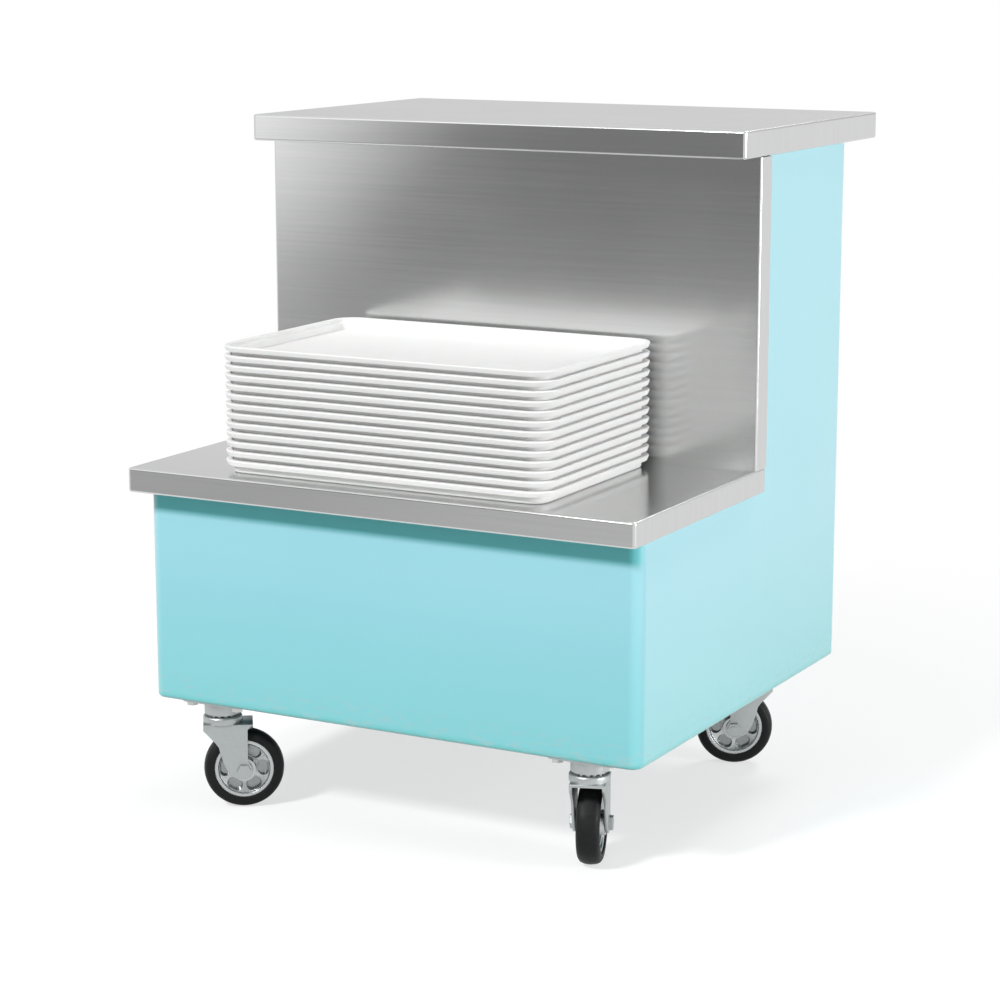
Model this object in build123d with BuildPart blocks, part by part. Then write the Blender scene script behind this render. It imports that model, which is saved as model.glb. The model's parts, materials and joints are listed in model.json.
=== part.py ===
from build123d import *
from math import sqrt
import os

# A mobile tray stand: a moulded one-piece body with a low front part and a high rear part, a tray deck,
# a splash and a top shelf of bent stainless sheet, four swivel casters, and a stack of nesting trays.
# Millimetres, +Z up, +Y towards the back. The origin is on the floor, under the middle of the outline.

# Moulded body
body_width = 684.0
body_depth = 617.0
lower_height = 302.0
full_height = 722.0
body_wall = 5.0
body_corner = 16.0
bottom_edge_radius = 5.0
seat_flange = 32.0
foot_flange_margin = 9.0
back_flange = 40.0

# Stainless sheet work
sheet = 1.5
bend_radius = 3.0
sheet_corner = 5.0
lip_width = 14.0
side_overhang = 8.0
seat_clearance = 0.2
deck_overhang = 32.0
deck_flange = 31.0
bay_depth = 313.0
splash_return = 31.0
shelf_front_overhang = 50.0
shelf_rear_overhang = 83.0
shelf_flange = 34.0

# Stiffeners under the sheets and channels over the casters
hat_web = 36.0
hat_height = 22.0
hat_foot = 14.0
hat_sheet = 1.5
hat_end_gap = 12.0
hat_count = 2
channel_height = 30.0
channel_sheet = 3.0
channel_end_gap = 1.0
channel_wall_gap = 2.0
channel_washer_room = 1.0

# Rear panel
panel_sheet = 1.5
panel_overlap = 18.0
panel_corner = 10.0
panel_screw_columns = 3
panel_screw_rows = 3

# Fasteners
stud_diameter = 6.0
stud_length = 14.0
stud_hole = 7.0
stud_nut_flats = 10.0
stud_nut_height = 5.0
stud_end_margin = 70.0
bolt_diameter = 8.0
bolt_hole = 9.0
bolt_head_flats = 13.0
bolt_head_height = 5.3
bolt_nut_height = 6.5
bolt_end = 2.0
washer_diameter = 16.0
washer_sheet = 1.6
screw_diameter = 4.8
screw_length = 12.0
screw_head_diameter = 9.5
screw_head_height = 2.8
thread_clearance = 0.05
hex_sides = 6

# Casters
wheel_diameter = 102.0
wheel_trail = 26.0
caster_side_inset = 81.0
rear_caster_inset = 86.0
front_left_heading = 34.0
front_right_heading = 109.0
rear_left_heading = 158.0
rear_right_heading = 203.0
crown_sheet = 3.5
lower_race_height = 9.5
race_gap = 2.0
neck_height = 15.5
plate_sheet = 3.0
plate_corner = 8.0
plate_bolt_pitch_x = 68.0
plate_bolt_pitch_y = 34.0
plate_bolt_edge = 11.0
upper_race_wall = 2.7
lower_race_wall = 4.7
ball_diameter = 6.0
ball_ring_radius = 17.0
ball_count = 14
ball_clearance = 0.3
kingpin_diameter = 12.0
kingpin_head_diameter = 22.0
kingpin_head_height = 4.5
kingpin_head_gap = 1.9
kingpin_end_gap = 0.5
fork_bend_radius = 5.0
crown_front_reach = 25.0
crown_rear_margin = 7.0
leg_shoulder_reach = 6.0
leg_shoulder_drop = 24.5
leg_knee_reach = 25.0
leg_knee_rise = 10.0
leg_rear_reach = 5.0
leg_end_radius = 11.0
axle_diameter = 10.0
axle_head_flats = 16.0
axle_head_height = 4.0
axle_nut_height = 4.5
axle_end = 1.0
sleeve_wall = 2.0
running_clearance = 0.1
hub_diameter = 30.0
hub_side_gap = 1.0
web_sheet = 8.0
rim_thickness = 6.0
rim_inset = 2.0
pocket_count = 6
pocket_margin = 2.5
pocket_turn = 12.0
pocket_depth = 2.0
tyre_width = 28.0
tyre_thickness = 13.0
tyre_side_gap = 4.0
tyre_shoulder = 6.0
tyre_crown = 2.0
tyre_seat_gap = 0.05

# Trays
tray_count = 13
tray_width = 457.0
tray_depth = 305.0
tray_corner = 32.0
tray_pitch = 11.8
tray_rim_rise = 4.6
tray_wall = 2.2
tray_lip = 6.6
tray_rim = 7.0
tray_nest_side_gap = 0.5
tray_nest_gap = 0.05
tray_rim_radius = 2.0
tray_floor_radius = 1.0
tray_back_gap = 15.0
tray_shift = -5.5

# Heights and places that follow from the sizes above
stainless_width = body_width + 2 * side_overhang
overall_depth = deck_overhang + body_depth + shelf_rear_overhang
axle_height = wheel_diameter / 2
crown_clearance = running_clearance + kingpin_head_height + kingpin_head_gap
crown_bottom = wheel_diameter + crown_clearance
crown_top = crown_bottom + crown_sheet
race_top = crown_top + lower_race_height
neck_bottom = race_top + race_gap
plate_bottom = neck_bottom + neck_height
body_bottom = plate_bottom + plate_sheet
deck_top = body_bottom + lower_height
deck_seat = deck_top - sheet
deck_bottom = deck_top - deck_flange
shelf_top = body_bottom + full_height
shelf_seat = shelf_top - sheet
shelf_bottom = shelf_top - shelf_flange
deck_front = -overall_depth / 2
body_front = deck_front + deck_overhang
body_back = body_front + body_depth
body_middle = (body_front + body_back) / 2
splash_front = body_front + bay_depth
splash_seat = splash_front + sheet
splash_rear = splash_front + splash_return
shelf_front = splash_front - shelf_front_overhang
shelf_rear = body_back + shelf_rear_overhang
inner_half_width = body_width / 2 - body_wall - seat_flange
lip_span = body_width + 2 * seat_clearance
floor_top = body_bottom + body_wall
plate_length = plate_bolt_pitch_x + 2 * plate_bolt_edge
plate_width = plate_bolt_pitch_y + 2 * plate_bolt_edge
channel_width = plate_bolt_pitch_y + washer_diameter + 2 * (channel_washer_room + channel_sheet)
front_caster_inset = body_wall + channel_wall_gap + channel_width / 2
front_foot_flange = front_caster_inset + channel_width / 2 + foot_flange_margin
rear_foot_flange = rear_caster_inset + channel_width / 2 + foot_flange_margin
caster_half_track = body_width / 2 - caster_side_inset
front_caster_y = body_front + front_caster_inset
rear_caster_y = body_back - rear_caster_inset
channel_length = body_width - 2 * body_corner - 2 * channel_end_gap
deck_opening_front = body_front + body_wall + seat_flange
deck_opening_depth = splash_seat - seat_flange - deck_opening_front
shelf_opening_front = splash_seat + body_wall + seat_flange
shelf_opening_depth = body_back - body_wall - seat_flange - shelf_opening_front

FROM_FRONT = (Align.CENTER, Align.MIN)
FROM_BACK = (Align.CENTER, Align.MAX)
hex_corner = 2 / sqrt(3)

os.makedirs("parts", exist_ok=True)


def save(piece, name):
    """Labels a finished piece and writes it under its node's name."""
    piece.part.label = name
    export_step(piece.part, "parts/" + name + ".step")


def upright(y):
    """A plane that faces the front at depth y, with its own x along +X and its own y along +Z."""
    return Plane((0, y, 0), x_dir=(1, 0, 0), z_dir=(0, -1, 0))


# Stud places: a row along the front and rear flanges of each seat, and one at each side between them
flange_middle = body_wall + seat_flange / 2
stud_half_width = body_width / 2 - flange_middle
stud_row_half_width = stud_half_width - stud_end_margin
stud_columns = (-stud_row_half_width, 0, stud_row_half_width)


def seat_studs(front_y, rear_y):
    """Stud places on a seat whose front and rear stud rows lie at the two depths."""
    rows = [(x, y) for y in (front_y, rear_y) for x in stud_columns]
    sides = [(x, (front_y + rear_y) / 2) for x in (-stud_half_width, stud_half_width)]
    return rows + sides


deck_studs = seat_studs(body_front + flange_middle, splash_seat - seat_flange / 2)
shelf_studs = seat_studs(splash_seat + flange_middle, body_back - flange_middle)
splash_stud_bottom = deck_seat + stud_end_margin
splash_stud_top = shelf_bottom - stud_end_margin
splash_stud_heights = (splash_stud_bottom, (splash_stud_bottom + splash_stud_top) / 2, splash_stud_top)
splash_studs = [(x, z) for z in splash_stud_heights for x in (-stud_half_width, stud_half_width)]

# Rear panel outline and its screws, on the rim around the rear opening
opening_width = body_width - 2 * body_corner - 2 * back_flange
opening_bottom = body_bottom + body_corner + back_flange
opening_top = shelf_bottom - back_flange
opening_middle = (opening_bottom + opening_top) / 2
opening_height = opening_top - opening_bottom
panel_width = opening_width + 2 * panel_overlap
panel_height = opening_height + 2 * panel_overlap
screw_half_width = (opening_width + panel_overlap) / 2
screw_half_height = (opening_height + panel_overlap) / 2
column_pitch = 2 * screw_half_width / (panel_screw_columns - 1)
row_pitch = 2 * screw_half_height / (panel_screw_rows - 1)
panel_screws = [
    (column * column_pitch - screw_half_width, opening_middle + row * row_pitch - screw_half_height)
    for column in range(panel_screw_columns)
    for row in range(panel_screw_rows)
    if column in (0, panel_screw_columns - 1) or row in (0, panel_screw_rows - 1)
]

# Caster names, swivel places on the floor plan, and the way each wheel trails at rest
casters = {
    "front_left": (-caster_half_track, front_caster_y, front_left_heading),
    "front_right": (caster_half_track, front_caster_y, front_right_heading),
    "rear_left": (-caster_half_track, rear_caster_y, rear_left_heading),
    "rear_right": (caster_half_track, rear_caster_y, rear_right_heading),
}
half_pitch_x = plate_bolt_pitch_x / 2
half_pitch_y = plate_bolt_pitch_y / 2
plate_corners = [(x, y) for x in (-half_pitch_x, half_pitch_x) for y in (-half_pitch_y, half_pitch_y)]
caster_bolt_places = [(x + dx, y + dy) for x, y, heading in casters.values() for dx, dy in plate_corners]

# One-piece moulded body: a low front and a high rear, hollow, with flanges turned in at each opening
with BuildPart() as body_shell:
    with BuildSketch(Plane.XY.offset(body_bottom)):
        with Locations((0, body_middle)):
            RectangleRounded(body_width, body_depth, body_corner)
    extrude(amount=deck_seat - body_bottom)
    with BuildSketch(Plane.XY.offset(deck_seat)):
        with Locations((0, body_middle)):
            RectangleRounded(body_width, body_depth, body_corner)
        with Locations((0, splash_seat)):
            Rectangle(stainless_width, overall_depth, align=FROM_BACK, mode=Mode.SUBTRACT)
    extrude(amount=shelf_seat - deck_seat)
    fillet(body_shell.edges().group_by(Axis.Z)[0], bottom_edge_radius)
    # Hollow of the low part, then of the high part down into it
    with BuildSketch(Plane.XY.offset(floor_top)):
        with Locations((0, body_middle)):
            RectangleRounded(body_width - 2 * body_wall, body_depth - 2 * body_wall, body_corner - body_wall)
    extrude(amount=deck_seat - body_wall - floor_top, mode=Mode.SUBTRACT)
    with BuildSketch(Plane.XY.offset(deck_seat - 2 * body_wall)):
        with Locations((0, body_middle)):
            RectangleRounded(body_width - 2 * body_wall, body_depth - 2 * body_wall, body_corner - body_wall)
        with Locations((0, splash_seat + body_wall)):
            Rectangle(stainless_width, overall_depth, align=FROM_BACK, mode=Mode.SUBTRACT)
    extrude(amount=shelf_seat - deck_seat + body_wall, mode=Mode.SUBTRACT)
    # Openings under the deck, behind the splash, under the shelf, in the floor and in the back
    with BuildSketch(Plane.XY.offset(deck_seat)):
        with Locations((0, deck_opening_front)):
            Rectangle(2 * inner_half_width, deck_opening_depth, align=FROM_FRONT)
    extrude(amount=-body_wall, mode=Mode.SUBTRACT)
    with BuildSketch(upright(splash_seat)):
        with Locations((0, deck_seat + seat_flange)):
            Rectangle(
                2 * inner_half_width, shelf_seat - body_wall - deck_seat - 2 * seat_flange, align=FROM_FRONT
            )
    extrude(amount=-body_wall, mode=Mode.SUBTRACT)
    with BuildSketch(Plane.XY.offset(shelf_seat)):
        with Locations((0, shelf_opening_front)):
            Rectangle(2 * inner_half_width, shelf_opening_depth, align=FROM_FRONT)
    extrude(amount=-body_wall, mode=Mode.SUBTRACT)
    with BuildSketch(Plane.XY.offset(body_bottom)):
        with Locations((0, body_front + front_foot_flange)):
            Rectangle(
                2 * inner_half_width, body_depth - front_foot_flange - rear_foot_flange, align=FROM_FRONT
            )
    extrude(amount=body_wall, mode=Mode.SUBTRACT)
    with BuildSketch(upright(body_back)):
        with Locations((0, opening_middle)):
            RectangleRounded(opening_width, opening_height, panel_corner)
    extrude(amount=body_wall, mode=Mode.SUBTRACT)
    # Holes for the studs, the caster bolts and the panel screws
    with BuildSketch(Plane.XY.offset(deck_seat)):
        with Locations(*deck_studs):
            Circle(stud_hole / 2)
    extrude(amount=-body_wall, mode=Mode.SUBTRACT)
    with BuildSketch(Plane.XY.offset(shelf_seat)):
        with Locations(*shelf_studs):
            Circle(stud_hole / 2)
    extrude(amount=-body_wall, mode=Mode.SUBTRACT)
    with BuildSketch(upright(splash_seat)):
        with Locations(*splash_studs):
            Circle(stud_hole / 2)
    extrude(amount=-body_wall, mode=Mode.SUBTRACT)
    with BuildSketch(Plane.XY.offset(body_bottom)):
        with Locations(*caster_bolt_places):
            Circle(bolt_hole / 2)
    extrude(amount=body_wall, mode=Mode.SUBTRACT)
    with BuildSketch(upright(body_back)):
        with Locations(*panel_screws):
            Circle(screw_diameter / 2 + thread_clearance)
    extrude(amount=body_wall, mode=Mode.SUBTRACT)
save(body_shell, "body_shell")

# Rear panel, screwed over the opening in the back
with BuildPart() as back_panel:
    with BuildSketch(upright(body_back)):
        with Locations((0, opening_middle)):
            RectangleRounded(panel_width, panel_height, panel_corner)
        with Locations(*panel_screws):
            Circle(screw_diameter / 2 + thread_clearance, mode=Mode.SUBTRACT)
    extrude(amount=-panel_sheet)
save(back_panel, "back_panel")

with BuildPart() as back_panel_screws:
    with BuildSketch(upright(body_back + panel_sheet)):
        with Locations(*panel_screws):
            Circle(screw_head_diameter / 2)
    extrude(amount=-screw_head_height)
    fillet(back_panel_screws.edges().group_by(Axis.Y)[-1], screw_head_height / 2)
    with BuildSketch(upright(body_back + panel_sheet)):
        with Locations(*panel_screws):
            Circle(screw_diameter / 2)
    extrude(amount=screw_length)
save(back_panel_screws, "back_panel_screws")


def base_channel(name, middle_y):
    """A steel channel across the floor of the body, which spreads the load of two casters."""
    with BuildPart() as channel:
        with BuildSketch(Plane.XY.offset(floor_top)):
            with Locations((0, middle_y)):
                Rectangle(channel_length, channel_width)
        extrude(amount=channel_height)
        with BuildSketch(Plane.XY.offset(floor_top + channel_sheet)):
            with Locations((0, middle_y)):
                Rectangle(channel_length, channel_width - 2 * channel_sheet)
        extrude(amount=channel_height, mode=Mode.SUBTRACT)
        with BuildSketch(Plane.XY.offset(floor_top)):
            with Locations(*[(x, y) for x, y in caster_bolt_places if abs(y - middle_y) < plate_width]):
                Circle(bolt_hole / 2)
        extrude(amount=channel_sheet, mode=Mode.SUBTRACT)
    save(channel, name)


base_channel("front_channel", front_caster_y)
base_channel("rear_channel", rear_caster_y)

# Tray deck: a flat sheet with flanges turned down at the front and sides and lips turned in towards the body
with BuildPart() as deck:
    with BuildSketch(Plane.XY.offset(deck_bottom)):
        with Locations((0, deck_front)):
            Rectangle(stainless_width, splash_rear - deck_front, align=FROM_FRONT)
    extrude(amount=deck_flange)
    fillet(deck.edges().filter_by(Axis.Z), sheet_corner)
    fillet(deck.edges().group_by(Axis.Z)[-1], bend_radius)
    fillet(deck.edges().group_by(Axis.Z)[0], bend_radius)
    with BuildSketch(Plane.XY.offset(deck_bottom + sheet)):
        with Locations((0, deck_front + sheet)):
            Rectangle(stainless_width - 2 * sheet, splash_rear - deck_front - 2 * sheet, align=FROM_FRONT)
    extrude(amount=deck_flange - 2 * sheet, mode=Mode.SUBTRACT)
    with BuildSketch(Plane.XY.offset(deck_bottom)):
        with Locations((0, deck_front + lip_width)):
            Rectangle(lip_span, overall_depth, align=FROM_FRONT)
    extrude(amount=deck_flange - sheet, mode=Mode.SUBTRACT)
    with BuildSketch(Plane.XY.offset(deck_seat)):
        with Locations((0, splash_seat - seat_clearance)):
            Rectangle(lip_span, overall_depth, align=FROM_FRONT)
    extrude(amount=sheet, mode=Mode.SUBTRACT)
    with BuildSketch(Plane.XY.offset(deck_seat)):
        with Locations(*deck_studs):
            Circle(stud_diameter / 2)
    extrude(amount=-stud_length)
save(deck, "deck")

# Splash: an upright sheet on the deck, its sides turned back along the body and in towards it
splash_return_top = shelf_bottom - seat_clearance
with BuildPart() as splash:
    with BuildSketch(Plane.XY.offset(deck_top)) as splash_plan:
        with Locations((0, splash_front)):
            Rectangle(stainless_width, splash_return, align=FROM_FRONT)
        fillet(splash_plan.vertices().group_by(Axis.Y)[0], bend_radius)
        with Locations((0, splash_seat)):
            Rectangle(
                stainless_width - 2 * sheet, splash_return - 2 * sheet, align=FROM_FRONT, mode=Mode.SUBTRACT
            )
            Rectangle(lip_span, splash_return, align=FROM_FRONT, mode=Mode.SUBTRACT)
    extrude(amount=splash_return_top - deck_top)
    with BuildSketch(Plane.XY.offset(splash_return_top)):
        with Locations((0, splash_front)):
            Rectangle(body_width, sheet, align=FROM_FRONT)
    extrude(amount=shelf_seat - splash_return_top)
    with BuildSketch(upright(splash_seat)):
        with Locations(*splash_studs):
            Circle(stud_diameter / 2)
    extrude(amount=-stud_length)
save(splash, "splash")

# Top shelf: a flat sheet with flanges turned down all round and lips turned in under them
with BuildPart() as top_shelf:
    with BuildSketch(Plane.XY.offset(shelf_bottom)):
        with Locations((0, shelf_front)):
            Rectangle(stainless_width, shelf_rear - shelf_front, align=FROM_FRONT)
    extrude(amount=shelf_flange)
    fillet(top_shelf.edges().filter_by(Axis.Z), sheet_corner)
    fillet(top_shelf.edges().group_by(Axis.Z)[-1], bend_radius)
    fillet(top_shelf.edges().group_by(Axis.Z)[0], bend_radius)
    with BuildSketch(Plane.XY.offset(shelf_bottom + sheet)):
        with Locations((0, shelf_front + sheet)):
            Rectangle(stainless_width - 2 * sheet, shelf_rear - shelf_front - 2 * sheet, align=FROM_FRONT)
    extrude(amount=shelf_flange - 2 * sheet, mode=Mode.SUBTRACT)
    with BuildSketch(Plane.XY.offset(shelf_bottom)):
        with Locations((0, shelf_front + lip_width)):
            Rectangle(lip_span, shelf_rear - shelf_front - 2 * lip_width, align=FROM_FRONT)
    extrude(amount=sheet, mode=Mode.SUBTRACT)
    with BuildSketch(Plane.XY.offset(shelf_seat)):
        with Locations(*shelf_studs):
            Circle(stud_diameter / 2)
    extrude(amount=-stud_length)
save(top_shelf, "top_shelf")


def stiffeners(name, seat, opening_front, opening_depth):
    """Hat sections across the underside of a sheet, their feet against it, spread over the opening below."""
    half_length = inner_half_width - hat_end_gap
    middle_y = opening_front + opening_depth / 2
    with BuildPart() as hats:
        with BuildSketch(Plane((-half_length, middle_y, seat), x_dir=(0, 1, 0), z_dir=(1, 0, 0))):
            with GridLocations(opening_depth / hat_count, 0, hat_count, 1):
                Rectangle(hat_web, hat_height, align=FROM_BACK)
                Rectangle(hat_web + 2 * hat_foot, hat_sheet, align=FROM_BACK)
                Rectangle(
                    hat_web - 2 * hat_sheet, hat_height - hat_sheet, align=FROM_BACK, mode=Mode.SUBTRACT
                )
        extrude(amount=2 * half_length)
    save(hats, name)


stiffeners("deck_stiffeners", deck_seat, deck_opening_front, deck_opening_depth)
stiffeners("shelf_stiffeners", shelf_seat, shelf_opening_front, shelf_opening_depth)


def stud_nuts(name, plane, places):
    """Hex nuts that draw a sheet's welded studs down on the inside of a body flange."""
    with BuildPart() as nuts:
        with BuildSketch(plane):
            with Locations(*places):
                RegularPolygon(stud_nut_flats / 2 * hex_corner, hex_sides)
                Circle(stud_diameter / 2 + thread_clearance, mode=Mode.SUBTRACT)
        extrude(amount=-stud_nut_height)
    save(nuts, name)


stud_nuts("deck_nuts", Plane.XY.offset(deck_seat - body_wall), deck_studs)
stud_nuts("splash_nuts", upright(splash_seat + body_wall), splash_studs)
stud_nuts("shelf_nuts", Plane.XY.offset(shelf_seat - body_wall), shelf_studs)

# Caster bolts: heads under the plates, nuts on washers in the channels
washer_bottom = floor_top + channel_sheet
nut_bottom = washer_bottom + washer_sheet
bolt_top = nut_bottom + bolt_nut_height + bolt_end
with BuildPart() as caster_bolts:
    with BuildSketch(Plane.XY.offset(plate_bottom)):
        with Locations(*caster_bolt_places):
            RegularPolygon(bolt_head_flats / 2 * hex_corner, hex_sides)
    extrude(amount=-bolt_head_height)
    with BuildSketch(Plane.XY.offset(plate_bottom)):
        with Locations(*caster_bolt_places):
            Circle(bolt_diameter / 2)
    extrude(amount=bolt_top - plate_bottom)
save(caster_bolts, "caster_bolts")

with BuildPart() as caster_washers:
    with BuildSketch(Plane.XY.offset(washer_bottom)):
        with Locations(*caster_bolt_places):
            Circle(washer_diameter / 2)
            Circle(bolt_diameter / 2 + thread_clearance, mode=Mode.SUBTRACT)
    extrude(amount=washer_sheet)
save(caster_washers, "caster_washers")

with BuildPart() as caster_nuts:
    with BuildSketch(Plane.XY.offset(nut_bottom)):
        with Locations(*caster_bolt_places):
            RegularPolygon(bolt_head_flats / 2 * hex_corner, hex_sides)
            Circle(bolt_diameter / 2 + thread_clearance, mode=Mode.SUBTRACT)
    extrude(amount=bolt_nut_height)
save(caster_nuts, "caster_nuts")

# Caster pieces. Each caster stands on a plane under its swivel axis whose x runs the way the wheel trails.
groove_radius = ball_diameter / 2 + ball_clearance
neck_diameter = 2 * (ball_ring_radius + groove_radius + upper_race_wall)
lower_race_diameter = 2 * (ball_ring_radius + groove_radius + lower_race_wall)
ball_height = race_top + race_gap / 2
fork_gap = tyre_width + 2 * tyre_side_gap
fork_width = fork_gap + 2 * crown_sheet
crown_rear_reach = wheel_trail + leg_rear_reach + crown_rear_margin
hub_width = fork_gap - 2 * hub_side_gap
sleeve_radius = axle_diameter / 2 + running_clearance + sleeve_wall
axle_reach = fork_width / 2
rim_radius = axle_height - tyre_thickness
rim_width = tyre_width - 2 * rim_inset
web_reach = rim_radius - rim_thickness - hub_diameter / 2
pocket_ring = hub_diameter / 2 + web_reach / 2
tyre_bore = rim_radius + tyre_seat_gap


def ball_groove(x, y):
    """The ring that the balls run in, as a solid to cut from both races."""
    with BuildPart() as groove:
        with BuildSketch(upright(y)):
            with Locations((x + ball_ring_radius, ball_height)):
                Circle(groove_radius)
        revolve(axis=Axis((x, y, 0), (0, 0, 1)))
    return groove.part


def caster_plate(name, x, y):
    """Top plate with its upper ball race, bolted up under the body."""
    swivel = Plane((x, y, 0))
    groove = ball_groove(x, y)
    with BuildPart() as plate:
        with BuildSketch(swivel.offset(plate_bottom)):
            RectangleRounded(plate_length, plate_width, plate_corner)
            with Locations(*plate_corners):
                Circle(bolt_hole / 2, mode=Mode.SUBTRACT)
        extrude(amount=plate_sheet)
        with BuildSketch(swivel.offset(neck_bottom)):
            Circle(neck_diameter / 2)
        extrude(amount=neck_height)
        with BuildSketch(swivel.offset(neck_bottom)):
            Circle(kingpin_diameter / 2 + thread_clearance)
        extrude(amount=neck_height + plate_sheet, mode=Mode.SUBTRACT)
        add(groove, mode=Mode.SUBTRACT)
    save(plate, name + "_plate")


def caster_kingpin(name, x, y):
    """Pin held in the plate, whose head carries the fork."""
    swivel = Plane((x, y, 0))
    head_top = crown_bottom - running_clearance
    with BuildPart() as kingpin:
        with BuildSketch(swivel.offset(head_top)):
            Circle(kingpin_head_diameter / 2)
        extrude(amount=-kingpin_head_height)
        fillet(kingpin.edges().group_by(Axis.Z)[0], kingpin_head_height / 2)
        with BuildSketch(swivel.offset(head_top)):
            Circle(kingpin_diameter / 2)
        extrude(amount=body_bottom - kingpin_end_gap - head_top)
    save(kingpin, name + "_kingpin")


def caster_balls(name, swivel):
    """Ring of loose balls between the two races."""
    with BuildPart(swivel.offset(ball_height)) as balls:
        with PolarLocations(ball_ring_radius, ball_count):
            Sphere(ball_diameter / 2)
    save(balls, name + "_race_balls")


def caster_fork(name, swivel, side):
    """Fork: crown with the lower race, and two tapered legs down to the axle."""
    groove = ball_groove(swivel.origin.X, swivel.origin.Y)
    leg_end = (wheel_trail, axle_height - leg_end_radius)
    leg_rear = (wheel_trail + leg_rear_reach, axle_height)
    leg_rear_top = (wheel_trail + leg_rear_reach, crown_bottom)
    crown_rear = (crown_rear_reach, crown_bottom)
    crown_rear_top = (crown_rear_reach, crown_top)
    crown_front_top = (-crown_front_reach, crown_top)
    crown_front = (-crown_front_reach, crown_bottom)
    leg_shoulder = (-leg_shoulder_reach, crown_bottom - leg_shoulder_drop)
    leg_knee = (wheel_trail - leg_knee_reach, axle_height + leg_knee_rise)
    with BuildPart() as fork:
        with BuildSketch(swivel.offset(crown_bottom)):
            with Locations(((crown_rear_reach - crown_front_reach) / 2, 0)):
                Rectangle(crown_front_reach + crown_rear_reach, fork_width)
        extrude(amount=crown_sheet)
        with BuildSketch(side):
            with BuildLine():
                Polyline(leg_end, leg_rear, leg_rear_top, crown_rear, crown_rear_top)
                Polyline(crown_rear_top, crown_front_top, crown_front)
                Line(crown_front, leg_shoulder)
                ThreePointArc(leg_shoulder, leg_knee, leg_end)
            make_face()
            with Locations((wheel_trail, axle_height)):
                Circle(leg_end_radius)
                Circle(axle_diameter / 2 + running_clearance, mode=Mode.SUBTRACT)
        extrude(amount=fork_width / 2, both=True)
        with BuildSketch(side):
            Rectangle(2 * wheel_diameter + 2 * wheel_trail, crown_bottom, align=FROM_FRONT)
        extrude(amount=fork_gap / 2, both=True, mode=Mode.SUBTRACT)
        crown_edges = fork.edges().group_by(Axis.Z)[-1].filter_by(Axis((0, 0, 0), swivel.x_dir))
        fillet(crown_edges, fork_bend_radius)
        with BuildSketch(swivel.offset(crown_bottom)):
            Circle(lower_race_diameter / 2)
        extrude(amount=crown_sheet + lower_race_height)
        with BuildSketch(swivel.offset(crown_bottom)):
            Circle(kingpin_diameter / 2 + running_clearance)
        extrude(amount=crown_sheet + lower_race_height, mode=Mode.SUBTRACT)
        add(groove, mode=Mode.SUBTRACT)
    save(fork, name + "_fork")


def caster_axle(name, side):
    """Axle bolt across the fork, its nut, and the sleeve that the legs clamp."""
    with BuildPart() as axle_bolt:
        with BuildSketch(side.offset(axle_reach)):
            with Locations((wheel_trail, axle_height)):
                RegularPolygon(axle_head_flats / 2 * hex_corner, hex_sides)
        extrude(amount=axle_head_height)
        with BuildSketch(side.offset(axle_reach)):
            with Locations((wheel_trail, axle_height)):
                Circle(axle_diameter / 2)
        extrude(amount=-(2 * axle_reach + axle_nut_height + axle_end))
    save(axle_bolt, name + "_axle_bolt")
    with BuildPart() as axle_nut:
        with BuildSketch(side.offset(-axle_reach)):
            with Locations((wheel_trail, axle_height)):
                RegularPolygon(axle_head_flats / 2 * hex_corner, hex_sides)
                Circle(axle_diameter / 2 + thread_clearance, mode=Mode.SUBTRACT)
        extrude(amount=-axle_nut_height)
    save(axle_nut, name + "_axle_nut")
    with BuildPart() as axle_sleeve:
        with BuildSketch(side):
            with Locations((wheel_trail, axle_height)):
                Circle(sleeve_radius)
                Circle(axle_diameter / 2 + running_clearance, mode=Mode.SUBTRACT)
        extrude(amount=fork_gap / 2, both=True)
    save(axle_sleeve, name + "_axle_sleeve")


def caster_wheel(name, section, side):
    """Wheel core with pockets in its web, and the tyre on its rim. The section's x is the axle."""
    axle = Axis(section.origin, section.x_dir)
    bore = sleeve_radius + running_clearance
    pocket_line = Edge.make_circle(pocket_ring, start_angle=-pocket_turn / 2, end_angle=pocket_turn / 2)
    with BuildPart() as wheel_core:
        with BuildSketch(section):
            with Locations((0, bore)):
                Rectangle(hub_width, hub_diameter / 2 - bore, align=FROM_FRONT)
                Rectangle(web_sheet, rim_radius - bore, align=FROM_FRONT)
            with Locations((0, rim_radius)):
                Rectangle(rim_width, rim_thickness, align=FROM_BACK)
        revolve(axis=axle)
        for face in (-web_sheet / 2, web_sheet / 2 - pocket_depth):
            with BuildSketch(side.offset(face)):
                with Locations((wheel_trail, axle_height)):
                    with PolarLocations(0, pocket_count):
                        SlotArc(pocket_line, web_reach - 2 * pocket_margin)
            extrude(amount=pocket_depth, mode=Mode.SUBTRACT)
    save(wheel_core, name + "_wheel_core")
    shoulder_radius = axle_height - tyre_shoulder
    tread_half = tyre_width / 2 - tyre_shoulder
    with BuildPart() as tyre:
        with BuildSketch(section):
            with BuildLine():
                Polyline((-tyre_width / 2, shoulder_radius), (-tyre_width / 2, tyre_bore))
                Line((-tyre_width / 2, tyre_bore), (tyre_width / 2, tyre_bore))
                Line((tyre_width / 2, tyre_bore), (tyre_width / 2, shoulder_radius))
                ThreePointArc(
                    (tyre_width / 2, shoulder_radius),
                    (tread_half, axle_height - tyre_crown),
                    (0, axle_height),
                )
                ThreePointArc(
                    (0, axle_height),
                    (-tread_half, axle_height - tyre_crown),
                    (-tyre_width / 2, shoulder_radius),
                )
            make_face()
        revolve(axis=axle)
    save(tyre, name + "_tyre")


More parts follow.
